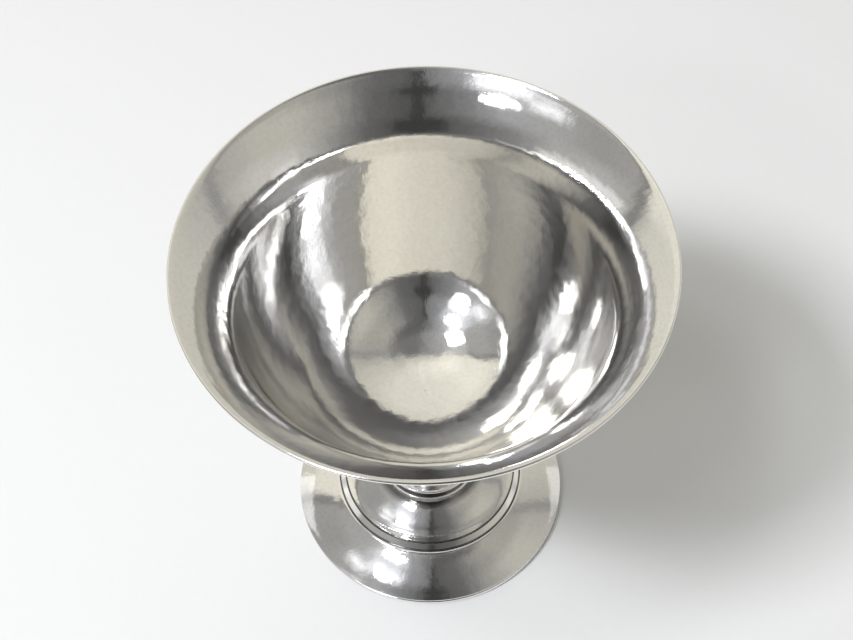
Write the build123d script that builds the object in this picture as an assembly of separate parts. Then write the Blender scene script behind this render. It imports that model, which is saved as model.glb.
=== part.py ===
from build123d import *
import math
import os

# Communion chalice of hand-raised silver, built from sheet shells and turned rings
# that one threaded rod clamps together. All lengths are millimetres.
# +Z is up. The origin is the centre of the foot's underside, on the table.

# ---- driving dimensions -------------------------------------------------------------
TOTAL_HEIGHT = 146.5
RIM_RADIUS = 75.0
FOOT_RADIUS = 49.1
BOWL_SHEET = 1.2
SHELL_SHEET = 1.0

# Inside line of the bowl, as six tangent arcs from the centre of the floor up to the rim.
# Slopes are degrees from level. The crease is the tighter bend between wall and flare, and
# the roll is the last bend outwards at the rim.
CENTRE_RADIUS = 79.3
CENTRE_END_SLOPE = 7.4
FLOOR_RADIUS = 44.3
FLOOR_END_SLOPE = 53.7
WALL_END_SLOPE = 77.0
CREASE_RADIUS = 30.5
CREASE_END_SLOPE = 61.5
FLARE_RADIUS = 47.0
FLARE_END_SLOPE = 38.3
ROLL_RADIUS = 8.0
RIM_SLOPE = 24.0

# Foot, from the ring it stands on up to the flat seat on top of the dome.
RING_HEIGHT = 2.0
RING_WIDTH = 3.0
RING_ROUNDING = 0.4
FOOT_EDGE_SETBACK = 0.3
FOOT_EDGE_FACE = 0.8
FOOT_EDGE_LAP = 1.9
FLANGE_TOP_LAP = 0.6
FLANGE_TOP_RADIUS = 33.6
FLANGE_TOP_Z = 10.9
FLANGE_EDGE_SLOPE = 38.0
STEP_RADIUS = 30.8
STEP_Z = 13.3
GROOVE_WIDTH = 0.8
GROOVE_DEPTH = 0.45
GROOVE_PLACES = (0.1, 0.9)
COVE_SLOPE = 12.0
COVE_RADIUS = 11.0
DOME_EDGE_SLOPE = 35.0
DOME_RADIUS = 39.0
DOME_TOP_SLOPE = 19.5

# Turned rings and the stem between foot and bowl.
BASE_COLLAR_RADIUS = 17.0
BASE_COLLAR_HEIGHT = 4.8
BASE_COLLAR_BEAD = 0.35
BASE_COLLAR_ROUNDING = 0.5
LOWER_STEM_FOOT_RADIUS = 13.4
STEM_EDGE = 0.7
STEM_EDGE_WIDTH = 1.5
NECK_RADIUS = 6.8
TRUMPET_SPREAD = 0.42
TRUMPET_LOW_PULL = 0.2
TRUMPET_HIGH_PULL = 0.45
KNOP_BOTTOM_Z = 39.5
KNOP_TOP_Z = 54.0
KNOP_RADIUS = 15.5
KNOP_SHOULDER = 0.6
KNOP_OUTER_PULL = (1.6, 0.45)
KNOP_INNER_PULL = (2.4, 0.42)
KNOP_BAND_WIRE = 0.9
UPPER_STEM_TOP_Z = 63.8
UPPER_STEM_TOP_RADIUS = 12.6
UPPER_COLLAR_RADIUS = 13.6
UPPER_COLLAR_BORE = 10.7
UPPER_COLLAR_ROUND = 1.0
UPPER_COLLAR_BLANK = 4.6

# Hidden fastening: boss under the bowl, tie rod, sleeve, plate, washer and nut.
ROD_RADIUS = 2.97
THREAD_BORE = 3.0
ROD_CLEARANCE_BORE = 3.4
ROD_TOP_Z = 64.6
BOSS_FLANGE_RADIUS = 10.5
BOSS_SPIGOT_RADIUS = 5.2
BOSS_SPIGOT_Z = 58.4
SLEEVE_RADIUS = 5.4
SLEEVE_HOLE = 5.6
PLATE_RADIUS = 15.0
PLATE_THICKNESS = 2.0
WASHER_RADIUS = 7.5
WASHER_THICKNESS = 1.2
NUT_ACROSS_FLATS = 10.0
NUT_THICKNESS = 5.0
ROD_TAIL = 2.0

# ---- sizes worked out from the driving dimensions -----------------------------------


def sin_deg(angle):
    return math.sin(math.radians(angle))


def cos_deg(angle):
    return math.cos(math.radians(angle))


RIM_ROUNDING = BOWL_SHEET / 2
LIP_END_RADIUS = RIM_RADIUS - RIM_ROUNDING * (1 + sin_deg(RIM_SLOPE))
LIP_END_Z = TOTAL_HEIGHT - RIM_ROUNDING * (1 - cos_deg(RIM_SLOPE))
WALL_RADIUS = (
    LIP_END_RADIUS
    - CENTRE_RADIUS * sin_deg(CENTRE_END_SLOPE)
    - FLOOR_RADIUS * (sin_deg(FLOOR_END_SLOPE) - sin_deg(CENTRE_END_SLOPE))
    - CREASE_RADIUS * (sin_deg(WALL_END_SLOPE) - sin_deg(CREASE_END_SLOPE))
    - FLARE_RADIUS * (sin_deg(CREASE_END_SLOPE) - sin_deg(FLARE_END_SLOPE))
    - ROLL_RADIUS * (sin_deg(FLARE_END_SLOPE) - sin_deg(RIM_SLOPE))
) / (sin_deg(WALL_END_SLOPE) - sin_deg(FLOOR_END_SLOPE))
BOWL_DEPTH = (
    CENTRE_RADIUS * (1 - cos_deg(CENTRE_END_SLOPE))
    + FLOOR_RADIUS * (cos_deg(CENTRE_END_SLOPE) - cos_deg(FLOOR_END_SLOPE))
    + WALL_RADIUS * (cos_deg(FLOOR_END_SLOPE) - cos_deg(WALL_END_SLOPE))
    + CREASE_RADIUS * (cos_deg(CREASE_END_SLOPE) - cos_deg(WALL_END_SLOPE))
    + FLARE_RADIUS * (cos_deg(FLARE_END_SLOPE) - cos_deg(CREASE_END_SLOPE))
    + ROLL_RADIUS * (cos_deg(RIM_SLOPE) - cos_deg(FLARE_END_SLOPE))
)
BOWL_FLOOR_Z = LIP_END_Z - BOWL_DEPTH
KNOP_MIDDLE_Z = (KNOP_BOTTOM_Z + KNOP_TOP_Z) / 2
SEAT_Z = (
    STEP_Z
    + COVE_RADIUS * (cos_deg(COVE_SLOPE) - cos_deg(DOME_EDGE_SLOPE))
    + DOME_RADIUS * (cos_deg(DOME_TOP_SLOPE) - cos_deg(DOME_EDGE_SLOPE))
)
BASE_COLLAR_TOP_Z = SEAT_Z + BASE_COLLAR_HEIGHT
PLATE_TOP_Z = SEAT_Z - SHELL_SHEET
WASHER_TOP_Z = PLATE_TOP_Z - PLATE_THICKNESS
NUT_TOP_Z = WASHER_TOP_Z - WASHER_THICKNESS
ROD_BOTTOM_Z = NUT_TOP_Z - NUT_THICKNESS - ROD_TAIL
FLANGE_EDGE_RADIUS = FOOT_RADIUS - FOOT_EDGE_SETBACK


def turned(*edges):
    """Closes a half section drawn in the XZ plane and turns it about Z."""
    outline = Wire(edges)
    section = make_face(outline.edges())
    return revolve(section, axis=Axis.Z)


def ring(inner, outer, low, high):
    """Plain ring of rectangular section."""
    corners = [(inner, 0, low), (outer, 0, low), (outer, 0, high), (inner, 0, high)]
    return revolve(make_face(Polyline(*corners, close=True)), axis=Axis.Z)


def arc_on(previous, radius, turn):
    """Arc that goes on from the end of the previous edge, turning by so many degrees."""
    return tangent_arc(previous @ 1, previous % 1, radius, turn)


def tangent_arc(start, direction, radius, turn):
    """Arc in the XZ plane; a positive turn bends it upwards, towards +Z."""
    side = 1 if turn > 0 else -1
    heading = math.atan2(direction.Z, direction.X)
    centre_x = start.X - side * radius * math.sin(heading)
    centre_z = start.Z + side * radius * math.cos(heading)

    def point(angle):
        at = heading + math.radians(angle)
        return (centre_x + side * radius * math.sin(at), 0, centre_z - side * radius * math.cos(at))

    return ThreePointArc(point(0), point(turn / 2), point(turn))


# ---- sub-parts ----------------------------------------------------------------------


def bowl_line(offset):
    """Section line of the bowl from the axis to the rim, offset outwards from the inside."""
    start = Vector(0, 0, BOWL_FLOOR_Z - offset)
    centre = tangent_arc(start, Vector(1, 0, 0), CENTRE_RADIUS + offset, CENTRE_END_SLOPE)
    floor = arc_on(centre, FLOOR_RADIUS + offset, FLOOR_END_SLOPE - CENTRE_END_SLOPE)
    wall = arc_on(floor, WALL_RADIUS + offset, WALL_END_SLOPE - FLOOR_END_SLOPE)
    crease = arc_on(wall, CREASE_RADIUS - offset, CREASE_END_SLOPE - WALL_END_SLOPE)
    flare = arc_on(crease, FLARE_RADIUS - offset, FLARE_END_SLOPE - CREASE_END_SLOPE)
    roll = arc_on(flare, ROLL_RADIUS - offset, RIM_SLOPE - FLARE_END_SLOPE)
    return [centre, floor, wall, crease, flare, roll]


def make_bowl():
    """Raised cup: round floor, steep wall and a lip that flares widely to a rounded rim."""
    inside = bowl_line(0)
    outside = bowl_line(BOWL_SHEET)
    rim = tangent_arc(inside[-1] @ 1, inside[-1] % 1, RIM_ROUNDING, -180)
    axis_line = Line(outside[0] @ 0, inside[0] @ 0)
    return turned(*inside, rim, *outside, axis_line)


def under_bowl(blank):
    """Cuts a blank to the bowl's underside, so that it seats on the curved sheet."""
    outside = bowl_line(BOWL_SHEET)
    brim = outside[-1] @ 1
    top = Vector(0, 0, brim.Z)
    return blank - turned(*outside, Line(brim, top), Line(top, outside[0] @ 0))


def make_bowl_boss():
    """Flanged boss soldered under the bowl, threaded for the tie rod."""
    flange = ring(THREAD_BORE, BOSS_FLANGE_RADIUS, UPPER_STEM_TOP_Z, BOWL_FLOOR_Z + BOWL_SHEET)
    spigot = ring(THREAD_BORE, BOSS_SPIGOT_RADIUS, BOSS_SPIGOT_Z, UPPER_STEM_TOP_Z)
    return under_bowl(flange + spigot)


def make_upper_collar():
    """Rounded moulding that covers the joint between stem and bowl."""
    blank_top_z = UPPER_STEM_TOP_Z + UPPER_COLLAR_BLANK
    low = Vector(UPPER_COLLAR_RADIUS - UPPER_COLLAR_ROUND, 0, UPPER_STEM_TOP_Z)
    middle = Vector(UPPER_COLLAR_RADIUS, 0, UPPER_STEM_TOP_Z + UPPER_COLLAR_BLANK / 2)
    high = Vector(UPPER_COLLAR_RADIUS - UPPER_COLLAR_ROUND, 0, blank_top_z)
    bore_low = Vector(UPPER_COLLAR_BORE, 0, UPPER_STEM_TOP_Z)
    bore_high = Vector(UPPER_COLLAR_BORE, 0, blank_top_z)
    outer = ThreePointArc(low, middle, high)
    blank = turned(Line(bore_low, low), outer, Line(high, bore_high), Line(bore_high, bore_low))
    return under_bowl(blank)


def trumpet_line(foot_radius, foot_z, neck_radius, neck_z):
    """Concave line that sweeps from a wide, nearly level foot to an upright neck."""
    rise = neck_z - foot_z
    spread = (foot_radius - neck_radius) * TRUMPET_SPREAD
    return Bezier(
        (foot_radius, 0, foot_z),
        (neck_radius + spread, 0, foot_z + rise * TRUMPET_LOW_PULL),
        (neck_radius, 0, foot_z + rise * TRUMPET_HIGH_PULL),
        (neck_radius, 0, neck_z),
    )


def trumpet_shell(foot_radius, foot_z, neck_z):
    """Flared sheet shell with a thin rim at its wide end and a pierced plate at its neck."""
    way = math.copysign(1, neck_z - foot_z)
    outer = trumpet_line(foot_radius, foot_z + way * STEM_EDGE, NECK_RADIUS, neck_z)
    plate_z = neck_z - way * SHELL_SHEET
    inner = trumpet_line(foot_radius - STEM_EDGE_WIDTH, foot_z, NECK_RADIUS - SHELL_SHEET, plate_z)
    rim = Vector(foot_radius, 0, foot_z)
    hole_inside = Vector(ROD_CLEARANCE_BORE, 0, plate_z)
    hole_outside = Vector(ROD_CLEARANCE_BORE, 0, neck_z)
    return turned(
        outer,
        Line(outer @ 1, hole_outside),
        Line(hole_outside, hole_inside),
        Line(hole_inside, inner @ 1),
        inner,
        Line(inner @ 0, rim),
        Line(rim, outer @ 0),
    )


def make_upper_stem():
    """Short flared shell that widens from the knop up to the collar."""
    return trumpet_shell(UPPER_STEM_TOP_RADIUS, UPPER_STEM_TOP_Z, KNOP_TOP_Z)


def make_lower_stem():
    """Trumpet-shaped shell that spreads from the knop down to the base collar."""
    return trumpet_shell(LOWER_STEM_FOOT_RADIUS, BASE_COLLAR_TOP_Z, KNOP_BOTTOM_Z)


def knop_half(pole_z):
    """One raised half of the hollow knop, from the stem's hole to the soldered middle."""
    half_height = pole_z - KNOP_MIDDLE_Z
    start = Vector(SLEEVE_HOLE, 0, pole_z)
    shoulder = Vector(NECK_RADIUS + KNOP_SHOULDER, 0, pole_z)
    inward = math.copysign(SHELL_SHEET, -half_height)
    inner_radius = KNOP_RADIUS - SHELL_SHEET
    outer = Bezier(
        shoulder,
        Vector(KNOP_RADIUS - KNOP_OUTER_PULL[0], 0, pole_z),
        Vector(KNOP_RADIUS, 0, KNOP_MIDDLE_Z + half_height * KNOP_OUTER_PULL[1]),
        Vector(KNOP_RADIUS, 0, KNOP_MIDDLE_Z),
    )
    inner = Bezier(
        shoulder + Vector(0, 0, inward),
        Vector(KNOP_RADIUS - KNOP_INNER_PULL[0], 0, pole_z + inward),
        Vector(inner_radius, 0, KNOP_MIDDLE_Z + half_height * KNOP_INNER_PULL[1]),
        Vector(inner_radius, 0, KNOP_MIDDLE_Z),
    )
    inner_start = start + Vector(0, 0, inward)
    return turned(
        Line(start, shoulder),
        outer,
        Line(outer @ 1, inner @ 1),
        inner,
        Line(inner @ 0, inner_start),
        Line(inner_start, start),
    )


def make_knop_band():
    """Half-round wire soldered over the seam of the knop."""
    low = Vector(KNOP_RADIUS, 0, KNOP_MIDDLE_Z - KNOP_BAND_WIRE)
    middle = Vector(KNOP_RADIUS + KNOP_BAND_WIRE, 0, KNOP_MIDDLE_Z)
    high = Vector(KNOP_RADIUS, 0, KNOP_MIDDLE_Z + KNOP_BAND_WIRE)
    return turned(ThreePointArc(low, middle, high), Line(high, low))


def make_knop_sleeve():
    """Distance tube inside the hollow knop, which carries the rod's clamping force."""
    return ring(ROD_CLEARANCE_BORE, SLEEVE_RADIUS, KNOP_BOTTOM_Z, KNOP_TOP_Z)


def make_base_collar():
    """Turned drum on the dome's seat, with a small bead round its lower edge."""
    drum = ring(ROD_CLEARANCE_BORE, BASE_COLLAR_RADIUS, SEAT_Z, BASE_COLLAR_TOP_Z)
    top_circles = drum.edges().filter_by(GeomType.CIRCLE).group_by(Axis.Z)[-1]
    outer_top = top_circles.sort_by(lambda edge: edge.radius)[-1]
    drum = fillet(outer_top, BASE_COLLAR_ROUNDING)
    low = Vector(BASE_COLLAR_RADIUS, 0, SEAT_Z)
    middle = Vector(BASE_COLLAR_RADIUS + BASE_COLLAR_BEAD, 0, SEAT_Z + BASE_COLLAR_BEAD)
    high = Vector(BASE_COLLAR_RADIUS, 0, SEAT_Z + 2 * BASE_COLLAR_BEAD)
    bead = turned(ThreePointArc(low, middle, high), Line(high, low))
    return drum + bead


def foot_line(offset):
    """Section line of the foot from its edge up to the dome's seat, offset inwards."""
    cove_start = Vector(
        STEP_RADIUS - offset * sin_deg(COVE_SLOPE), 0, STEP_Z - offset * cos_deg(COVE_SLOPE)
    )
    uphill = Vector(-cos_deg(COVE_SLOPE), 0, sin_deg(COVE_SLOPE))
    cove = tangent_arc(cove_start, uphill, COVE_RADIUS + offset, COVE_SLOPE - DOME_EDGE_SLOPE)
    dome = arc_on(cove, DOME_RADIUS - offset, DOME_EDGE_SLOPE - DOME_TOP_SLOPE)
    seat_edge = Vector((dome @ 1).X - offset, 0, SEAT_Z - offset)
    seat = Line(seat_edge, (ROD_CLEARANCE_BORE, 0, SEAT_Z - offset))
    if offset == 0:
        return [cove, dome, seat]
    return [cove, dome, Line(dome @ 1, seat_edge), seat]


def foot_groove(radius, z):
    """Narrow engraved ring, cut square to the sloping step."""
    slope = math.degrees(math.atan2(STEP_Z - FLANGE_TOP_Z, FLANGE_TOP_RADIUS - STEP_RADIUS))
    along = Vector(cos_deg(slope), 0, -sin_deg(slope)) * (GROOVE_WIDTH / 2)
    down = Vector(-sin_deg(slope), 0, -cos_deg(slope)) * GROOVE_DEPTH
    middle = Vector(radius, 0, z)
    lift = -down
    corners = [middle - along + lift, middle + along + lift, middle + along, middle + down, middle - along]
    return revolve(make_face(Polyline(*corners, close=True)), axis=Axis.Z)


def make_foot():
    """Raised foot: spreading flange, a step with two engraved rings, and a round dome."""
    edge_low = Vector(FLANGE_EDGE_RADIUS, 0, RING_HEIGHT)
    edge_high = edge_low + Vector(0, 0, FOOT_EDGE_FACE)
    flange_top = Vector(FLANGE_TOP_RADIUS, 0, FLANGE_TOP_Z)
    uphill = Vector(-cos_deg(FLANGE_EDGE_SLOPE), 0, sin_deg(FLANGE_EDGE_SLOPE))
    flange = TangentArc(edge_high, flange_top, tangent=uphill)
    outside = foot_line(0)
    inside = foot_line(SHELL_SHEET)
    step = Line(flange_top, outside[0] @ 0)
    under_top = flange_top - Vector(FLANGE_TOP_LAP, 0, SHELL_SHEET)
    under_edge = Vector(FLANGE_EDGE_RADIUS - FOOT_EDGE_LAP, 0, RING_HEIGHT)
    under_step = Line(under_top, inside[0] @ 0)
    under_flange = TangentArc(under_edge, under_top, tangent=uphill)
    rod_hole = Line(outside[-1] @ 1, inside[-1] @ 1)
    shell = turned(
        Line(edge_low, edge_high),
        flange,
        step,
        *outside,
        rod_hole,
        *inside,
        under_step,
        under_flange,
        Line(under_edge, edge_low),
    )
    for share in GROOVE_PLACES:
        at = flange_top + (Vector(STEP_RADIUS, 0, STEP_Z) - flange_top) * share
        shell = shell - foot_groove(at.X, at.Z)
    return shell


def make_foot_ring():
    """Flat wire soldered under the foot's edge, on which the chalice stands."""
    blank = ring(FOOT_RADIUS - RING_WIDTH, FOOT_RADIUS, 0, RING_HEIGHT)
    outer_edges = blank.edges().filter_by(GeomType.CIRCLE).sort_by(lambda edge: edge.radius)[-2:]
    return fillet(outer_edges, RING_ROUNDING)


def make_clamp_plate():
    """Stiff disc under the dome that spreads the nut's pull."""
    return ring(ROD_CLEARANCE_BORE, PLATE_RADIUS, WASHER_TOP_Z, PLATE_TOP_Z)


def make_washer():
    return ring(ROD_CLEARANCE_BORE, WASHER_RADIUS, NUT_TOP_Z, WASHER_TOP_Z)


def make_clamp_nut():
    """Hexagonal nut on the rod's lower end."""
    corner_radius = NUT_ACROSS_FLATS / math.sqrt(3)
    low = NUT_TOP_Z - NUT_THICKNESS
    blank = Pos(0, 0, low) * extrude(RegularPolygon(corner_radius, 6), NUT_THICKNESS)
    return blank - ring(0, THREAD_BORE, low, NUT_TOP_Z)


def make_tie_rod():
    """Threaded rod from the boss down through stem and foot, drawn at its thread's size."""
    return ring(0, ROD_RADIUS, ROD_BOTTOM_Z, ROD_TOP_Z)


SUBPARTS = {
    "bowl": make_bowl(),
    "bowl_boss": make_bowl_boss(),
    "upper_collar": make_upper_collar(),
    "upper_stem": make_upper_stem(),
    "knop_upper_shell": knop_half(KNOP_TOP_Z),
    "knop_lower_shell": knop_half(KNOP_BOTTOM_Z),
    "knop_band": make_knop_band(),
    "knop_sleeve": make_knop_sleeve(),
    "lower_stem": make_lower_stem(),
    "base_collar": make_base_collar(),
    "foot": make_foot(),
    "foot_ring": make_foot_ring(),
    "clamp_plate": make_clamp_plate(),
    "washer": make_washer(),
    "clamp_nut": make_clamp_nut(),
    "tie_rod": make_tie_rod(),
}

os.makedirs("parts", exist_ok=True)
for name, shape in SUBPARTS.items():
    export_step(shape, f"parts/{name}.step")
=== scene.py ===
import math

import bpy
import numpy as np
from mathutils import Matrix, Vector


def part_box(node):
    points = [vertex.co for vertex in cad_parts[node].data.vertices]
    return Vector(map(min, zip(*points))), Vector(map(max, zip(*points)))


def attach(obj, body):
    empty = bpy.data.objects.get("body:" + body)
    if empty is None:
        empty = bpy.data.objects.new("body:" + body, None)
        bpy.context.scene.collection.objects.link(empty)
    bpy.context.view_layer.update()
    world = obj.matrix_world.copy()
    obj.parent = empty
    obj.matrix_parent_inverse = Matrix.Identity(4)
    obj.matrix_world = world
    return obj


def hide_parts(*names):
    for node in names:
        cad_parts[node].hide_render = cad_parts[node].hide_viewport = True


# Looks of a hand-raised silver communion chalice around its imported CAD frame. Metres, +Z up.
# The visible silver is built again as fine turned meshes. On the bowl and the foot every
# hammer facet is in the mesh. The parts hidden inside keep their CAD meshes.

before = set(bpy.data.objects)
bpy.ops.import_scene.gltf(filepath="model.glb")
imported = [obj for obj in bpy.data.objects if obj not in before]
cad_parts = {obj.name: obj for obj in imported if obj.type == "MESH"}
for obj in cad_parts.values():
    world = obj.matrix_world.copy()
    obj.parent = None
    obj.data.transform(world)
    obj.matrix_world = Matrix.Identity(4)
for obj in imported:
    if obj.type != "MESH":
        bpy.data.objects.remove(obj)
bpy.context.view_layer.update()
scene = bpy.context.scene

MM = 0.001


def box_sizes(node):
    """(radius, lowest z, highest z) of a round CAD node."""
    low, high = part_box(node)
    return max(high.x, high.y), low.z, high.z


# ---- sizes read from the frame --------------------------------------------------------

RIM_RADIUS, _, TOTAL_HEIGHT = box_sizes("bowl")
FOOT_RADIUS, TABLE_Z, RING_HEIGHT = box_sizes("foot_ring")
FOOT_EDGE_RADIUS, _, SEAT_Z = box_sizes("foot")
_, _, COLLAR_TOP_Z = box_sizes("base_collar")
LOWER_STEM_RADIUS, _, KNOP_BOTTOM_Z = box_sizes("lower_stem")
UPPER_STEM_RADIUS, KNOP_TOP_Z, UPPER_STEM_TOP_Z = box_sizes("upper_stem")
KNOP_RADIUS, KNOP_MIDDLE_Z, _ = box_sizes("knop_upper_shell")
UPPER_COLLAR_RADIUS, _, _ = box_sizes("upper_collar")

# ---- the silver's section, as the CAD part has it ---------------------------------------

BOWL_SHEET = 1.2 * MM
SHELL_SHEET = 1.0 * MM
CENTRE_RADIUS = 79.3 * MM
CENTRE_END_SLOPE = 7.4
FLOOR_RADIUS = 44.3 * MM
FLOOR_END_SLOPE = 53.7
WALL_END_SLOPE = 77.0
CREASE_RADIUS = 30.5 * MM
CREASE_END_SLOPE = 61.5
FLARE_RADIUS = 47.0 * MM
FLARE_END_SLOPE = 38.3
ROLL_RADIUS = 8.0 * MM
RIM_SLOPE = 24.0
RING_WIDTH = 3.0 * MM
RING_ROUNDING = 0.4 * MM
FOOT_EDGE_FACE = 0.8 * MM
FOOT_EDGE_LAP = 1.9 * MM
FLANGE_TOP_LAP = 0.6 * MM
FLANGE_TOP = (33.6 * MM, 10.9 * MM)
FLANGE_EDGE_SLOPE = 38.0
STEP_TOP = (30.8 * MM, 13.3 * MM)
GROOVE_WIDTH = 0.8 * MM
GROOVE_DEPTH = 0.45 * MM
GROOVE_PLACES = (0.1, 0.9)
COVE_SLOPE = 12.0
COVE_RADIUS = 11.0 * MM
DOME_EDGE_SLOPE = 35.0
DOME_RADIUS = 39.0 * MM
DOME_TOP_SLOPE = 19.5
ROD_HOLE_RADIUS = 3.4 * MM
COLLAR_RADIUS = 17.0 * MM
COLLAR_BEAD = 0.35 * MM
COLLAR_ROUNDING = 0.5 * MM
STEM_EDGE = 0.7 * MM
STEM_EDGE_WIDTH = 1.5 * MM
NECK_RADIUS = 6.8 * MM
KNOP_SHOULDER = 0.6 * MM
KNOP_HOLE_RADIUS = 5.6 * MM
KNOP_BAND_WIRE = 0.9 * MM
UPPER_COLLAR_BORE = 10.7 * MM
UPPER_COLLAR_ROUND = 1.0 * MM

# ---- fineness of the meshes and size of the hammer marks --------------------------------

TURNS = 640
STEP = 0.6 * MM
FINE_STEP = 0.08 * MM
BLOW_SPACING = 4.2 * MM
BLOW_RADIUS = 230.0 * MM
WAVE_DEPTH = 0.035 * MM
FOOT_FACETS = 0.7
FOOT_WAVES = 0.5
SEED = 7


def sin_deg(angle):
    return math.sin(math.radians(angle))


def cos_deg(angle):
    return math.cos(math.radians(angle))


# ---- section lines, as (radius, height) points --------------------------------------------


def arc(start, heading, radius, turn, step=STEP):
    """Arc that leaves start at heading, in degrees from +r towards +z, and turns so far."""
    side = math.copysign(1.0, turn)
    count = max(6, int(abs(math.radians(turn)) * radius / step))
    angles = np.radians(heading + np.linspace(0.0, turn, count + 1))
    r = start[0] + side * radius * (np.sin(angles) - np.sin(angles[0]))
    z = start[1] - side * radius * (np.cos(angles) - np.cos(angles[0]))
    return np.stack([r, z], 1)


def arc_to(start, heading, end, step=STEP):
    """Arc that leaves start at heading and runs to end."""
    chord = math.degrees(math.atan2(end[1] - start[1], end[0] - start[0]))
    turn = 2 * ((chord - heading + 180) % 360 - 180)
    radius = math.dist(start, end) / (2 * abs(sin_deg(turn / 2)))
    return arc(start, heading, radius, turn, step)


def line(start, end, step=STEP):
    count = max(1, int(round(math.dist(start, end) / step)))
    share = np.linspace(0.0, 1.0, count + 1)[:, None]
    return np.array(start) * (1 - share) + np.array(end) * share


def bezier(start, first, second, end, count=48):
    t = np.linspace(0.0, 1.0, count + 1)[:, None]
    a, b, c, d = (np.array(point) for point in (start, first, second, end))
    return a * (1 - t) ** 3 + 3 * b * t * (1 - t) ** 2 + 3 * c * t**2 * (1 - t) + d * t**3


def joined(*runs):
    """One line out of several that follow on, without doubled points."""
    points = [runs[0]]
    for run in runs[1:]:
        points.append(run[1:])
    return np.concatenate(points)


def length_along(section):
    steps = np.linalg.norm(np.diff(section, axis=0), axis=1)
    return np.concatenate([[0.0], np.cumsum(steps)])


def normals_of(section):
    """Unit normals of a section line, to the right of its direction of travel."""
    ahead = np.gradient(section, axis=0)
    ahead /= np.maximum(np.linalg.norm(ahead, axis=1, keepdims=True), 1e-12)
    return np.stack([ahead[:, 1], -ahead[:, 0]], 1)


# ---- hammer marks ---------------------------------------------------------------------------


def blow_rows(radii, along, rng):
    """Rings of hammer blows along a section: each ring's place, phase, count and jitter."""
    rows = []
    at = along[0] + BLOW_SPACING / 2
    while at < along[-1]:
        count = max(3, int(round(2 * math.pi * float(np.interp(at, along, radii)) / BLOW_SPACING)))
        row = {"at": at, "count": count, "phase": rng.uniform(0, 2 * math.pi)}
        row["shift"] = rng.uniform(-0.45, 0.45, count) * BLOW_SPACING
        row["turn"] = rng.uniform(-0.4, 0.4, count)
        row["level"] = rng.uniform(0.0, 1.0, count) ** 2
        rows.append(row)
        at += BLOW_SPACING
    return rows


def hammered(radii, along, angles, rng):
    """Height of the planished surface over a smooth one, for each section point and angle."""
    rows = blow_rows(radii, along, rng)
    places = np.array([row["at"] for row in rows])
    height = np.full((len(radii), len(angles)), 1.0)
    cell = BLOW_SPACING**2 / (8 * BLOW_RADIUS)
    for i, (radius, at) in enumerate(zip(radii, along)):
        nearest = int(np.argmin(np.abs(places - at)))
        for row in rows[max(0, nearest - 2) : nearest + 3]:
            turn = (angles - row["phase"]) / (2 * math.pi) * row["count"]
            for side in (-1, 0, 1):
                index = np.floor(turn + 0.5).astype(int) + side
                which = index % row["count"]
                around = (turn - index - row["turn"][which]) * 2 * math.pi / row["count"] * radius
                across = at - row["at"] - row["shift"][which]
                facet = (around**2 + across**2) / (2 * BLOW_RADIUS) + cell * row["level"][which]
                height[i] = np.minimum(height[i], facet)
    return height


def waves(along, angles, rng):
    """Slow unevenness of hand-raised sheet: a few soft waves round and along it."""
    height = np.zeros((len(along), len(angles)))
    span = along[-1] - along[0]
    for lobes in range(2, 12):
        cycles = rng.uniform(1.0, 5.0)
        start, lead = rng.uniform(0, 2 * math.pi, 2)
        down = np.sin(2 * math.pi * cycles * along[:, None] / span + start)
        height += np.sin(lobes * angles[None, :] + lead) * down / lobes
    return height * WAVE_DEPTH


# ---- turned meshes --------------------------------------------------------------------------


def angles_of(turns):
    return np.linspace(0.0, 2 * math.pi, turns, endpoint=False)


def grid_faces(starts, on_axis, turns):
    """Quads between rings of vertices, and triangles where a ring is one point on the axis."""
    j = np.arange(turns)
    k = (j + 1) % turns
    faces = []
    for i in range(len(starts) - 1):
        low, high = starts[i], starts[i + 1]
        if on_axis[i]:
            faces.extend(zip([low] * turns, high + k, high + j))
        elif on_axis[i + 1]:
            faces.extend(zip(low + j, low + k, [high] * turns))
        else:
            faces.extend(zip(low + j, low + k, high + k, high + j))
    if not on_axis[0]:
        last, first = starts[-1], starts[0]
        faces.extend(zip(last + j, last + k, first + k, first + j))
    return [tuple(int(v) for v in face) for face in faces]


def lathe(name, section, relief=None, turns=TURNS):
    """Mesh of a closed section turned about Z. relief moves each point along its normal."""
    angles = angles_of(turns)
    radius = np.repeat(section[:, :1], turns, 1)
    level = np.repeat(section[:, 1:], turns, 1)
    if relief is not None:
        normal = normals_of(section)
        radius = radius + normal[:, :1] * relief
        level = level + normal[:, 1:] * relief
    on_axis = section[:, 0] < 1e-7
    rings = []
    starts = []
    total = 0
    for i in range(len(section)):
        starts.append(total)
        if on_axis[i]:
            rings.append(np.array([[0.0, 0.0, level[i].mean()]]))
        else:
            rings.append(np.stack([radius[i] * np.cos(angles), radius[i] * np.sin(angles), level[i]], 1))
        total += len(rings[-1])
    mesh = bpy.data.meshes.new(name)
    mesh.from_pydata(np.concatenate(rings).tolist(), [], grid_faces(starts, on_axis, turns))
    mesh.validate()
    mesh.shade_smooth()
    mesh.set_sharp_from_angle(angle=math.radians(40))
    piece = bpy.data.objects.new(name, mesh)
    scene.collection.objects.link(piece)
    return piece


# ---- the raised and turned silver -----------------------------------------------------------


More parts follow.
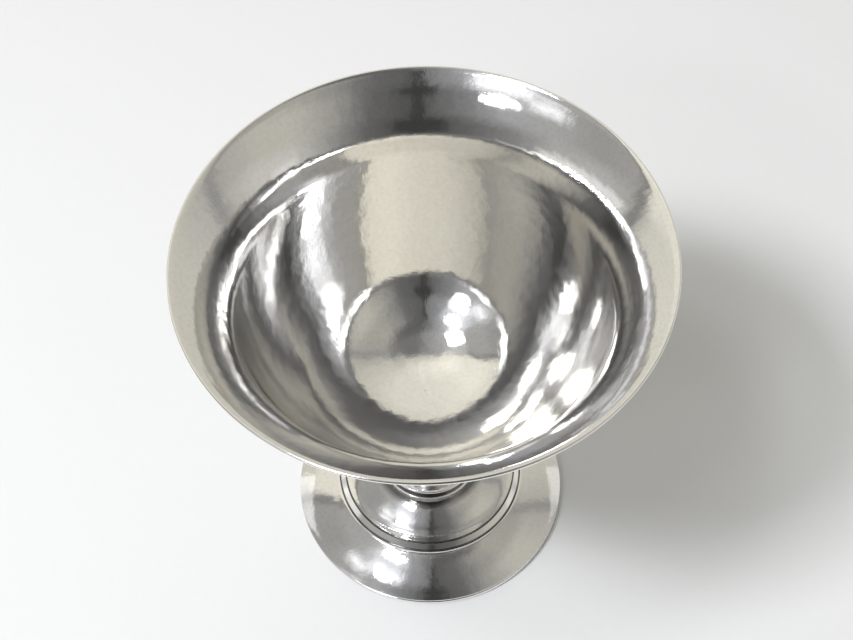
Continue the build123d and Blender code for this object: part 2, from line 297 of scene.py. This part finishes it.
def bowl_line(offset):
    """Section line of the bowl from the axis to the lip, offset outwards from the inside."""
    rounding = BOWL_SHEET / 2
    lip_radius = RIM_RADIUS - rounding * (1 + sin_deg(RIM_SLOPE))
    lip_z = TOTAL_HEIGHT - rounding * (1 - cos_deg(RIM_SLOPE))
    bends = (
        (CENTRE_RADIUS, 0.0, CENTRE_END_SLOPE),
        (FLOOR_RADIUS, CENTRE_END_SLOPE, FLOOR_END_SLOPE),
        (CREASE_RADIUS, WALL_END_SLOPE, CREASE_END_SLOPE),
        (FLARE_RADIUS, CREASE_END_SLOPE, FLARE_END_SLOPE),
        (ROLL_RADIUS, FLARE_END_SLOPE, RIM_SLOPE),
    )
    run = sum(radius * abs(sin_deg(end) - sin_deg(start)) for radius, start, end in bends)
    wall_radius = (lip_radius - run) / (sin_deg(WALL_END_SLOPE) - sin_deg(FLOOR_END_SLOPE))
    bends = (*bends[:2], (wall_radius, FLOOR_END_SLOPE, WALL_END_SLOPE), *bends[2:])
    depth = sum(radius * abs(cos_deg(end) - cos_deg(start)) for radius, start, end in bends)
    pieces = []
    place = (0.0, lip_z - depth - offset)
    for radius, start, end in bends:
        side = 1 if end > start else -1
        pieces.append(arc(place, start, radius + side * offset, end - start))
        place = pieces[-1][-1]
    return joined(*pieces)


def make_bowl():
    """The raised cup, planished inside and out, with a smooth thin rim."""
    rng = np.random.default_rng(SEED)
    inside = bowl_line(0.0)
    outside = bowl_line(BOWL_SHEET)
    rim = arc(inside[-1], RIM_SLOPE, BOWL_SHEET / 2, -180.0, FINE_STEP)
    section = joined(inside, rim, outside[::-1])[::-1]
    along = length_along(section)
    relief = -hammered(section[:, 0], along, angles_of(TURNS), rng)
    relief -= WAVE_DEPTH * 3 + waves(along, angles_of(TURNS), rng)
    calm = np.clip((RIM_RADIUS - section[:, 0]) / (3.0 * MM), 0.0, 1.0)
    return lathe("bowl_hammered", section, relief * calm[:, None])


def foot_top(offset):
    """Cove, dome and seat of the foot, offset inwards, from the step to the rod's hole."""
    start = (STEP_TOP[0] - offset * sin_deg(COVE_SLOPE), STEP_TOP[1] - offset * cos_deg(COVE_SLOPE))
    cove = arc(start, 180 - COVE_SLOPE, COVE_RADIUS + offset, COVE_SLOPE - DOME_EDGE_SLOPE)
    dome = arc(cove[-1], 180 - DOME_EDGE_SLOPE, DOME_RADIUS - offset, DOME_EDGE_SLOPE - DOME_TOP_SLOPE)
    seat_edge = (dome[-1][0] - offset, SEAT_Z - offset)
    seat = line(seat_edge, (ROD_HOLE_RADIUS, SEAT_Z - offset))
    return joined(cove, dome, line(dome[-1], seat_edge), seat) if offset else joined(cove, dome, seat)


def make_foot():
    """The raised foot: planished flange and dome, with two engraved rings between them."""
    rng = np.random.default_rng(SEED + 1)
    edge = (FOOT_EDGE_RADIUS, RING_HEIGHT + FOOT_EDGE_FACE)
    flange = arc_to(edge, 180 - FLANGE_EDGE_SLOPE, FLANGE_TOP)
    step = line(FLANGE_TOP, STEP_TOP, FINE_STEP)
    outside = joined(flange, step, foot_top(0.0))
    under_edge = (FOOT_EDGE_RADIUS - FOOT_EDGE_LAP, RING_HEIGHT)
    under_top = (FLANGE_TOP[0] - FLANGE_TOP_LAP, FLANGE_TOP[1] - SHELL_SHEET)
    under_flange = arc_to(under_edge, 180 - FLANGE_EDGE_SLOPE, under_top)
    inside = joined(under_flange, line(under_top, foot_top(SHELL_SHEET)[0]), foot_top(SHELL_SHEET))
    bottom = line(under_edge, (FOOT_EDGE_RADIUS, RING_HEIGHT))
    closing = line(bottom[-1], edge)
    section = joined(outside, line(outside[-1], inside[-1]), inside[::-1], bottom, closing)[:-1]
    along = length_along(section)
    relief = hammered(section[:, 0], along, angles_of(TURNS), rng) * FOOT_FACETS
    relief += (WAVE_DEPTH * 3 + waves(along, angles_of(TURNS), rng)) * FOOT_WAVES
    step_start = len(flange) - 1
    step_end = step_start + len(step) - 1
    from_step = np.maximum(along[step_start] - along, along - along[step_end])
    on_top = (along > 0) & (along < along[len(outside) - 1]) & (section[:, 0] > COLLAR_RADIUS)
    calm = np.clip(from_step / (1.5 * MM), 0.0, 1.0) * np.clip(along / (1.0 * MM), 0.0, 1.0) * on_top
    relief = -relief * calm[:, None]
    for share in GROOVE_PLACES:
        at = along[step_start] + share * (along[step_end] - along[step_start])
        across = np.abs(along - at) / (GROOVE_WIDTH / 2)
        cut = GROOVE_DEPTH * np.clip(1 - across**2, 0.0, 1.0) * (along < along[len(outside) - 1])
        relief = relief - cut[:, None]
    return lathe("foot_hammered", section, relief)


def make_foot_ring():
    """Flat wire under the foot's edge, on which the chalice stands."""
    inner = FOOT_RADIUS - RING_WIDTH
    round_from = FOOT_RADIUS - RING_ROUNDING
    low = arc((round_from, TABLE_Z), 0.0, RING_ROUNDING, 90.0, FINE_STEP)
    high = arc((FOOT_RADIUS, RING_HEIGHT - RING_ROUNDING), 90.0, RING_ROUNDING, 90.0, FINE_STEP)
    corners = line(high[-1], (inner, RING_HEIGHT)), line((inner, RING_HEIGHT), (inner, TABLE_Z))
    section = joined(low, line(low[-1], high[0]), high, *corners, line((inner, TABLE_Z), low[0]))[:-1]
    return lathe("foot_ring_turned", section)


def make_base_collar():
    """Turned drum on the dome's seat, with a small bead round its lower edge."""
    bead_top = SEAT_Z + 2 * COLLAR_BEAD
    bead = arc((COLLAR_RADIUS, SEAT_Z), 0.0, COLLAR_BEAD, 180.0, 0.05 * MM)
    side = line((COLLAR_RADIUS, bead_top), (COLLAR_RADIUS, COLLAR_TOP_Z - COLLAR_ROUNDING))
    shoulder = arc(side[-1], 90.0, COLLAR_ROUNDING, 90.0, FINE_STEP)
    top = line(shoulder[-1], (ROD_HOLE_RADIUS, COLLAR_TOP_Z))
    hole = line(top[-1], (ROD_HOLE_RADIUS, SEAT_Z))
    section = joined(bead, side, shoulder, top, hole, line(hole[-1], bead[0]))[:-1]
    return lathe("base_collar_turned", section)


def trumpet_line(foot_radius, foot_z, neck_radius, neck_z):
    """Concave line that sweeps from a wide, nearly level foot to an upright neck."""
    rise = neck_z - foot_z
    middle = (neck_radius + (foot_radius - neck_radius) * 0.42, foot_z + rise * 0.2)
    return bezier((foot_radius, foot_z), middle, (neck_radius, foot_z + rise * 0.45), (neck_radius, neck_z))


def make_stem(name, foot_radius, foot_z, neck_z):
    """Flared sheet shell with a thin rim at its wide end and a pierced plate at its neck."""
    way = math.copysign(1.0, neck_z - foot_z)
    outer = trumpet_line(foot_radius, foot_z + way * STEM_EDGE, NECK_RADIUS, neck_z)
    plate_z = neck_z - way * SHELL_SHEET
    inner = trumpet_line(foot_radius - STEM_EDGE_WIDTH, foot_z, NECK_RADIUS - SHELL_SHEET, plate_z)
    hole = line((ROD_HOLE_RADIUS, neck_z), (ROD_HOLE_RADIUS, plate_z))
    plate = joined(line(outer[-1], hole[0]), hole)
    rim = joined(line(inner[0], (foot_radius, foot_z)), line((foot_radius, foot_z), outer[0]))
    section = joined(outer, plate, line(plate[-1], inner[-1]), inner[::-1], rim)[:-1]
    return lathe(name, section[:: int(way)])


def make_knop_half(name, pole_z):
    """One raised half of the hollow knop, from the stem's hole to the soldered middle."""
    half = pole_z - KNOP_MIDDLE_Z
    inward = math.copysign(SHELL_SHEET, -half)
    shoulder = (NECK_RADIUS + KNOP_SHOULDER, pole_z)
    outer = bezier(
        shoulder,
        (KNOP_RADIUS - 1.6 * MM, pole_z),
        (KNOP_RADIUS, KNOP_MIDDLE_Z + half * 0.45),
        (KNOP_RADIUS, KNOP_MIDDLE_Z),
    )
    inner = bezier(
        (shoulder[0], pole_z + inward),
        (KNOP_RADIUS - 2.4 * MM, pole_z + inward),
        (KNOP_RADIUS - SHELL_SHEET, KNOP_MIDDLE_Z + half * 0.42),
        (KNOP_RADIUS - SHELL_SHEET, KNOP_MIDDLE_Z),
    )
    cap = line((KNOP_HOLE_RADIUS, pole_z), shoulder)
    under_cap = line(inner[0], (KNOP_HOLE_RADIUS, pole_z + inward))
    seam = line(outer[-1], inner[-1])
    section = joined(cap, outer, seam, inner[::-1], under_cap, line(under_cap[-1], cap[0]))[:-1]
    return lathe(name, section if half < 0 else section[::-1])


def make_knop_band():
    """Half-round wire over the seam of the knop."""
    wire = arc((KNOP_RADIUS, KNOP_MIDDLE_Z - KNOP_BAND_WIRE), 0.0, KNOP_BAND_WIRE, 180.0, FINE_STEP)
    return lathe("knop_band_turned", joined(wire, line(wire[-1], wire[0]))[:-1])


def make_upper_collar():
    """Rounded moulding over the joint between stem and bowl."""
    low = (UPPER_COLLAR_RADIUS - UPPER_COLLAR_ROUND, UPPER_STEM_TOP_Z)
    under = bowl_line(BOWL_SHEET)
    top_z = float(np.interp(UPPER_COLLAR_RADIUS - UPPER_COLLAR_ROUND / 2, under[:, 0], under[:, 1]))
    bore_z = float(np.interp(UPPER_COLLAR_BORE, under[:, 0], under[:, 1]))
    high = (UPPER_COLLAR_RADIUS - UPPER_COLLAR_ROUND / 2, top_z)
    low_pull = (UPPER_COLLAR_RADIUS, low[1] + 0.6 * MM)
    high_pull = (UPPER_COLLAR_RADIUS + 0.2 * MM, top_z - 1.2 * MM)
    side = bezier(low, low_pull, high_pull, high)
    bore = line((UPPER_COLLAR_BORE, bore_z), (UPPER_COLLAR_BORE, UPPER_STEM_TOP_Z))
    section = joined(side, line(high, bore[0]), bore, line(bore[-1], low))[:-1]
    return lathe("upper_collar_turned", section)


# ---- materials ------------------------------------------------------------------------------


class Nodes:
    """Adds nodes to a tree and joins them; an input is a plain value or another node's socket."""

    def __init__(self, tree):
        self.tree = tree
        tree.nodes.clear()

    def add(self, kind, inputs=None, **settings):
        node = self.tree.nodes.new(kind)
        for key, value in settings.items():
            setattr(node, key, value)
        for key, value in (inputs or {}).items():
            if isinstance(value, bpy.types.NodeSocket):
                self.tree.links.new(value, node.inputs[key])
            else:
                node.inputs[key].default_value = value
        return node

    def math(self, operation, *values, clamp=False):
        inputs = dict(enumerate(values))
        return self.add("ShaderNodeMath", inputs, operation=operation, use_clamp=clamp).outputs[0]

    def noise(self, place, scale, detail=2.0, roughness=0.5):
        inputs = {"Vector": place, "Scale": scale, "Detail": detail, "Roughness": roughness}
        return self.add("ShaderNodeTexNoise", inputs).outputs["Fac"]

    def spread(self, value, low, high, to_low, to_high):
        inputs = {"Value": value, 1: low, 2: high, 3: to_low, 4: to_high}
        return self.add("ShaderNodeMapRange", inputs, clamp=True).outputs[0]

    def mix(self, share, under, over):
        return self.add("ShaderNodeMix", {0: share, 6: under, 7: over}, data_type="RGBA").outputs[2]

    def bump(self, height, strength, distance, normal=None):
        inputs = {"Height": height, "Strength": strength, "Distance": distance}
        if normal is not None:
            inputs["Normal"] = normal
        return self.add("ShaderNodeBump", inputs).outputs[0]


def new_material(name):
    material = bpy.data.materials.new(name)
    material.use_nodes = True
    return material, Nodes(material.node_tree)


def polish_marks(nodes, place, scale, stretch, turn):
    """Fine streaks left by polishing: noise drawn out along one direction."""
    laid = nodes.add("ShaderNodeMapping", {"Vector": place, "Rotation": turn, "Scale": stretch})
    return nodes.noise(laid.outputs[0], scale, 2.0, 0.7)


def distance_from_axis(nodes, place):
    x, y, z = nodes.add("ShaderNodeSeparateXYZ", {0: place}).outputs
    squares = nodes.math("ADD", nodes.math("MULTIPLY", x, x), nodes.math("MULTIPLY", y, y))
    return nodes.math("SQRT", squares), z


def dark_ring_near(nodes, from_axis, radius, solid, faded):
    """1 within solid of a circle about the axis, fading to 0 at faded."""
    gap = nodes.math("ABSOLUTE", nodes.math("SUBTRACT", from_axis, radius))
    return nodes.spread(gap, solid, faded, 1.0, 0.0)


SILVER = (0.925, 0.92, 0.91, 1.0)
WARM_SILVER = (0.90, 0.885, 0.855, 1.0)
DULL_SILVER = (0.76, 0.745, 0.72, 1.0)
# Dark colour of tarnish in the foot's grooves, and of painted shade round the collar's foot.
TARNISH_AND_SHADE = (0.035, 0.03, 0.026, 1.0)
RAW_SILVER = (0.74, 0.73, 0.71, 1.0)
RAW_SILVER_DULL = (0.50, 0.48, 0.45, 1.0)
BRASS = (0.72, 0.60, 0.36, 1.0)
BRASS_DULL = (0.45, 0.37, 0.22, 1.0)
POLISH = 0.05
LATHE_PITCH = 0.25 * MM


def silver(name, roughness, wear, tarnish_and_shade_rings=()):
    """Polished silver: drifting tint, smudged gloss, fine scratches, and dark rings it is given: tarnish in
    its lines, painted shade at the collar's foot.
    """
    material, nodes = new_material(name)
    place = nodes.add("ShaderNodeTexCoord").outputs["Object"]
    smudge = nodes.noise(place, 55.0, 4.0, 0.65)
    grain = nodes.noise(place, 1400.0, 2.0, 0.6)
    drift = nodes.spread(nodes.noise(place, 24.0, 3.0, 0.6), 0.35, 0.7, 0.0, 1.0)
    colour = nodes.mix(drift, SILVER, WARM_SILVER)
    specks = nodes.spread(nodes.noise(place, 700.0, 4.0, 0.7), 0.42, 0.68, 0.0, 1.0)
    colour = nodes.mix(nodes.math("MULTIPLY", specks, 0.35), colour, DULL_SILVER)
    # Dark rings about the axis: tarnish in the grooves, and painted shade on the dome round the collar's
    # foot.
    if tarnish_and_shade_rings:
        from_axis, _ = distance_from_axis(nodes, place)
        tarnish_and_shade_share = 0.0
        for radius, solid, faded, strength in tarnish_and_shade_rings:
            near = dark_ring_near(nodes, from_axis, radius, solid, faded)
            near = nodes.math("MULTIPLY", near, strength)
            tarnish_and_shade_share = nodes.math("MAXIMUM", tarnish_and_shade_share, near)
        tarnish_and_shade_share = nodes.math("MULTIPLY", tarnish_and_shade_share, nodes.spread(smudge, 0.3, 0.6, 0.7, 1.0))
        colour = nodes.mix(tarnish_and_shade_share, colour, TARNISH_AND_SHADE)
    first = polish_marks(nodes, place, 300.0, (1.0, 16.0, 3.0), (0.3, 0.5, 0.9))
    second = polish_marks(nodes, place, 260.0, (14.0, 1.0, 3.0), (0.8, 0.2, 0.4))
    marks = nodes.math("ADD", first, second)
    gloss = nodes.spread(smudge, 0.35, 0.75, roughness, roughness * 1.6)
    gloss = nodes.math("ADD", gloss, nodes.spread(grain, 0.4, 0.7, 0.0, roughness * 0.3))
    dents = nodes.bump(nodes.noise(place, 380.0, 3.0, 0.6), 1.0, 0.028 * MM)
    scratched = nodes.math("ADD", nodes.math("MULTIPLY", marks, wear), grain)
    brushed = nodes.bump(scratched, 0.7, 0.005 * MM, dents)
    inputs = {"Base Color": colour, "Metallic": 1.0, "Roughness": gloss, "Normal": brushed}
    shader = nodes.add("ShaderNodeBsdfPrincipled", inputs)
    nodes.add("ShaderNodeOutputMaterial", {"Surface": shader.outputs[0]})
    return material


def machined(name, colour, dull, roughness):
    """Plain turned metal: fine lathe rings, drifting tint and dull spots."""
    material, nodes = new_material(name)
    place = nodes.add("ShaderNodeTexCoord").outputs["Object"]
    from_axis, height = distance_from_axis(nodes, place)
    turns = nodes.math("MULTIPLY", nodes.math("ADD", from_axis, height), 2 * math.pi / LATHE_PITCH)
    rings = nodes.math("SINE", turns)
    spots = nodes.noise(place, 180.0, 4.0, 0.7)
    tint = nodes.mix(nodes.spread(spots, 0.45, 0.7, 0.0, 1.0), colour, dull)
    gloss = nodes.spread(spots, 0.3, 0.7, roughness, roughness * 1.5)
    normal = nodes.bump(rings, 0.3, 0.01 * MM)
    inputs = {"Base Color": tint, "Metallic": 1.0, "Roughness": gloss, "Normal": normal}
    shader = nodes.add("ShaderNodeBsdfPrincipled", inputs)
    nodes.add("ShaderNodeOutputMaterial", {"Surface": shader.outputs[0]})
    return material


def groove_radius(share):
    return FLANGE_TOP[0] + (STEP_TOP[0] - FLANGE_TOP[0]) * share


def finishes():
    """One finish for each material slot of the record."""
    grooves = [(groove_radius(share), 0.16 * MM, 0.40 * MM, 1.0) for share in GROOVE_PLACES]
    # Painted shade: a dark ring on the dome round the collar's foot, where the collar's shadow falls.
    collar_painted_shade = (COLLAR_RADIUS + COLLAR_BEAD, 1.3 * MM, 3.6 * MM, 0.85)
    return {
        "bowl": silver("silver_bowl", POLISH, 1.6),
        "foot_silver": silver("silver_foot", POLISH, 1.3, (*grooves, collar_painted_shade)),
        "stem_silver": silver("silver_turned", POLISH, 0.7),
        "hidden_silver": machined("silver_unpolished", RAW_SILVER, RAW_SILVER_DULL, 0.35),
        "fastening": machined("brass_machined", BRASS, BRASS_DULL, 0.30),
    }


# ---- the object -----------------------------------------------------------------------------


def settle(piece, slot, node):
    """Gives a new piece its finish and its body, and hides the CAD node that it stands for."""
    piece.data.materials.append(finish[slot])
    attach(piece, "root")
    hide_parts(node)


finish = finishes()
settle(make_bowl(), "bowl", "bowl")
settle(make_foot(), "foot_silver", "foot")
settle(make_foot_ring(), "foot_silver", "foot_ring")
settle(make_base_collar(), "stem_silver", "base_collar")
lower_stem = make_stem("lower_stem_turned", LOWER_STEM_RADIUS, COLLAR_TOP_Z, KNOP_BOTTOM_Z)
settle(lower_stem, "stem_silver", "lower_stem")
upper_stem = make_stem("upper_stem_turned", UPPER_STEM_RADIUS, UPPER_STEM_TOP_Z, KNOP_TOP_Z)
settle(upper_stem, "stem_silver", "upper_stem")
settle(make_knop_half("knop_lower_turned", KNOP_BOTTOM_Z), "stem_silver", "knop_lower_shell")
settle(make_knop_half("knop_upper_turned", KNOP_TOP_Z), "stem_silver", "knop_upper_shell")
settle(make_knop_band(), "stem_silver", "knop_band")
settle(make_upper_collar(), "stem_silver", "upper_collar")

KEPT_NODES = {
    "bowl_boss": "hidden_silver",
    "knop_sleeve": "hidden_silver",
    "clamp_plate": "fastening",
    "washer": "fastening",
    "clamp_nut": "fastening",
    "tie_rod": "fastening",
}
for node, slot in KEPT_NODES.items():
    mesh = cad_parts[node].data
    for index in range(max(1, len(mesh.materials))):
        if index < len(mesh.materials):
            mesh.materials[index] = finish[slot]
        else:
            mesh.materials.append(finish[slot])


# ---- studio ---------------------------------------------------------------------------------

FLOOR_HALF = 4.0


def direction(azimuth, elevation):
    """Unit vector towards azimuth (0 is +Y, 90 is +X) and elevation, in degrees."""
    flat = cos_deg(elevation)
    return Vector((sin_deg(azimuth) * flat, cos_deg(azimuth) * flat, sin_deg(elevation)))


def make_floor():
    """Pale paper under the object."""
    mesh = bpy.data.meshes.new("floor")
    corners = [(-1, -1), (1, -1), (1, 1), (-1, 1)]
    mesh.from_pydata([(x * FLOOR_HALF, y * FLOOR_HALF, TABLE_Z) for x, y in corners], [], [(0, 1, 2, 3)])
    floor = bpy.data.objects.new("floor", mesh)
    scene.collection.objects.link(floor)
    paper, nodes = new_material("paper")
    fibres = nodes.noise(nodes.add("ShaderNodeTexCoord").outputs["Object"], 300.0, 3.0, 0.6)
    tint = nodes.mix(fibres, (0.705, 0.71, 0.72, 1.0), (0.725, 0.73, 0.74, 1.0))
    shader = nodes.add("ShaderNodeBsdfPrincipled", {"Base Color": tint, "Roughness": 0.9})
    nodes.add("ShaderNodeOutputMaterial", {"Surface": shader.outputs[0]})
    mesh.materials.append(paper)


def soft_box(name, azimuth, elevation, distance, size, glow, height=TOTAL_HEIGHT / 2):
    """Rectangular studio light that faces the object; glow is the brightness of its face."""
    light = bpy.data.lights.new(name, "AREA")
    light.shape = "RECTANGLE"
    light.size, light.size_y = size
    light.energy = glow * math.pi * size[0] * size[1]
    light.color = (0.97, 0.985, 1.0)
    lamp = bpy.data.objects.new(name, light)
    lamp.location = Vector((0.0, 0.0, height)) + direction(azimuth, elevation) * distance
    lamp.rotation_euler = direction(azimuth, elevation).to_track_quat("Z", "Y").to_euler()
    lamp.visible_camera = False
    scene.collection.objects.link(lamp)
    return lamp


def make_lights():
    """Three bright lamps in a row, a soft one that only the paper shows, and two low cards."""
    soft_box("key_top", -107.0, 71.0, 1.4, (0.22, 0.20), 14.0)
    soft_box("key_high", -136.0, 63.0, 1.4, (0.20, 0.14), 18.0)
    soft_box("key_low", -141.0, 43.0, 1.4, (0.21, 0.12), 18.0)
    wash = soft_box("wash", -111.0, 54.0, 2.4, (0.54, 0.48), 51.0)
    wash.visible_glossy = False
    soft_box("card_left", -84.0, 0.0, 0.34, (0.26, 0.10), 0.42, 0.085)
    soft_box("card_right", 82.0, 0.0, 0.34, (0.24, 0.08), 0.26, 0.080)


# What stands round the table, as (azimuth, brightness, warmth) going round from behind the
# camera: dim room, lit corner, pale sweep ahead from about -68 to 78, right flat, dim room. One
# ring for each band of heights.
RING_LOW = (
    (-180, 0.07, 0.0),
    (-158, 0.13, 0.0),
    (-136, 0.24, 0.0),
    (-116, 0.42, 0.2),
    (-96, 0.46, 0.2),
    (-70, 0.40, 0.5),
    (-63, 0.62, 0.9),
    (-38, 0.70, 0.9),
    (0, 0.62, 0.9),
    (52, 0.56, 0.8),
    (82, 0.43, 0.5),
    (100, 0.58, 0.5),
    (118, 0.57, 0.5),
    (141, 0.27, 0.3),
    (155, 0.13, 0.0),
    (180, 0.06, 0.0),
)
RING_MIDDLE = (
    (-180, 0.09, 0.0),
    (-158, 0.22, -0.2),
    (-140, 0.40, -0.3),
    (-116, 0.40, 0.1),
    (-96, 0.33, 0.2),
    (-72, 0.36, 0.4),
    (-68, 0.78, 1.0),
    (-38, 0.78, 1.0),
    (0, 0.68, 1.0),
    (52, 0.57, 0.9),
    (82, 0.40, 0.6),
    (104, 0.50, 0.8),
    (120, 0.50, 0.8),
    (142, 0.32, 0.5),
    (157, 0.14, 0.0),
    (180, 0.08, 0.0),
)
RING_HIGH = (
    (-180, 0.17, 0.0),
    (-160, 0.34, -0.4),
    (-140, 0.60, -0.5),
    (-122, 0.56, -0.3),
    (-104, 0.40, 0.1),
    (-74, 0.38, 0.4),
    (-67, 0.84, 1.0),
    (-38, 0.88, 1.0),
    (-8, 0.76, 1.0),
    (24, 0.72, 1.0),
    (62, 0.55, 0.9),
    (78, 0.36, 0.7),
    (114, 0.40, 0.8),
    (138, 0.30, 0.4),
    (156, 0.15, 0.0),
    (180, 0.11, 0.0),
)
RING_TOP = (
    (-180, 0.16, 0.0),
    (-150, 0.36, -0.2),
    (-120, 0.64, -0.3),
    (-88, 0.54, 0.0),
    (-68, 0.58, 0.4),
    (-62, 0.88, 1.0),
    (-30, 1.00, 1.0),
    (-8, 0.88, 1.0),
    (30, 0.66, 1.0),
    (60, 0.44, 0.7),
    (68, 0.25, 0.2),
    (130, 0.14, 0.0),
    (180, 0.11, 0.0),
)
RISES = ((17.0, 26.0, RING_MIDDLE), (43.0, 51.0, RING_HIGH), (64.0, 70.0, RING_TOP))


def tinted(brightness, warmth):
    return (brightness * (1 + 0.035 * warmth), brightness, brightness * (1 - 0.12 * warmth), 1.0)


def make_room():
    """World light, as the silver sees it, from four rings of surroundings and a few details."""
    world = bpy.data.worlds.new("room")
    scene.world = world
    world.use_nodes = True
    nodes = Nodes(world.node_tree)
    toward = nodes.add("ShaderNodeTexCoord").outputs["Generated"]
    x, y, z = nodes.add("ShaderNodeSeparateXYZ", {0: toward}).outputs
    azimuth = nodes.math("MULTIPLY", nodes.math("ARCTAN2", x, y), 180 / math.pi)
    height = nodes.math("MULTIPLY", nodes.math("ARCSINE", z), 180 / math.pi)
    round_share = nodes.spread(azimuth, -180.0, 180.0, 0.0, 1.0)

    def ring_of(stops):
        ramp = nodes.add("ShaderNodeValToRGB", {0: round_share})
        elements = ramp.color_ramp.elements
        for at, brightness, warmth in stops[1:-1]:
            elements.new((at + 180) / 360).color = tinted(brightness, warmth)
        elements[0].color = tinted(*stops[0][1:])
        elements[len(stops) - 1].color = tinted(*stops[-1][1:])
        return ramp.outputs[0]

    def between(value, low, high, soft):
        rise = nodes.spread(value, low - soft, low + soft, 0.0, 1.0)
        return nodes.math("MULTIPLY", rise, nodes.spread(value, high - soft, high + soft, 1.0, 0.0))

    def patch(under, colour, around, up, soft):
        share = nodes.math("MULTIPLY", between(azimuth, *around, soft), between(height, *up, soft))
        return nodes.mix(share, under, colour)

    colour = ring_of(RING_LOW)
    for low, high, stops in RISES:
        colour = nodes.mix(nodes.spread(height, low, high, 0.0, 1.0), colour, ring_of(stops))
    left_to_right = nodes.spread(x, -0.2, 0.1, 0.0, 1.0)
    room_above = nodes.mix(left_to_right, tinted(0.46, 0.1), tinted(0.18, 0.0))
    sweep_above = nodes.mix(left_to_right, tinted(0.72, 1.0), tinted(0.55, 1.0))
    above = nodes.mix(nodes.spread(y, 0.12, 0.16, 0.0, 1.0), room_above, sweep_above)
    colour = nodes.mix(nodes.spread(height, 74.0, 79.0, 0.0, 1.0), colour, above)
    colour = patch(colour, tinted(0.78, 0.2), (-122, -77), (-10, 12), 1.5)
    colour = patch(colour, tinted(0.70, 0.2), (107, 120), (-10, 12), 1.5)
    colour = patch(colour, tinted(0.90, -0.5), (-150, -118), (56, 68), 5.0)
    colour = patch(colour, tinted(1.40, -0.4), (-153, -126), (46, 54), 4.0)
    colour = patch(colour, tinted(1.20, -0.3), (-128, -111), (38, 46), 4.0)
    colour = patch(colour, tinted(0.24, 0.3), (-74, -69), (-10, 66), 1.5)
    colour = patch(colour, tinted(0.30, 0.3), (76, 82), (-10, 66), 2.0)
    camera_stand = tinted(0.05, 0.0)
    for side in (-180, 180):
        colour = patch(colour, camera_stand, (side - 2.5, side + 2.5), (4, 66), 1.2)
        colour = patch(colour, camera_stand, (side - 12.0, side + 12.0), (9, 20), 2.5)
        colour = patch(colour, camera_stand, (side - 9.0, side + 9.0), (40, 46), 2.5)
    glow = nodes.add("ShaderNodeBackground", {"Color": colour, "Strength": 1.0})
    nodes.add("ShaderNodeOutputWorld", {"Surface": glow.outputs[0]})


# ---- camera ---------------------------------------------------------------------------------

CAMERA_AIM = Vector((0.0004, 0.0, 0.1113))
CAMERA_DISTANCE = 0.4383
CAMERA_ELEVATION = 56.51
CAMERA_ROLL = -1.66
CAMERA_LENS = 59.1


def make_camera():
    data = bpy.data.cameras.new("camera")
    data.lens = CAMERA_LENS
    camera = bpy.data.objects.new("camera", data)
    scene.collection.objects.link(camera)
    back = direction(180.0, CAMERA_ELEVATION)
    turn = back.to_track_quat("Z", "Y").to_matrix() @ Matrix.Rotation(math.radians(CAMERA_ROLL), 3, "Z")
    camera.matrix_world = Matrix.Translation(CAMERA_AIM + back * CAMERA_DISTANCE) @ turn.to_4x4()
    scene.camera = camera


make_floor()
make_lights()
make_room()
make_camera()
scene.view_settings.view_transform = "Standard"
scene.cycles.glossy_bounces = 12
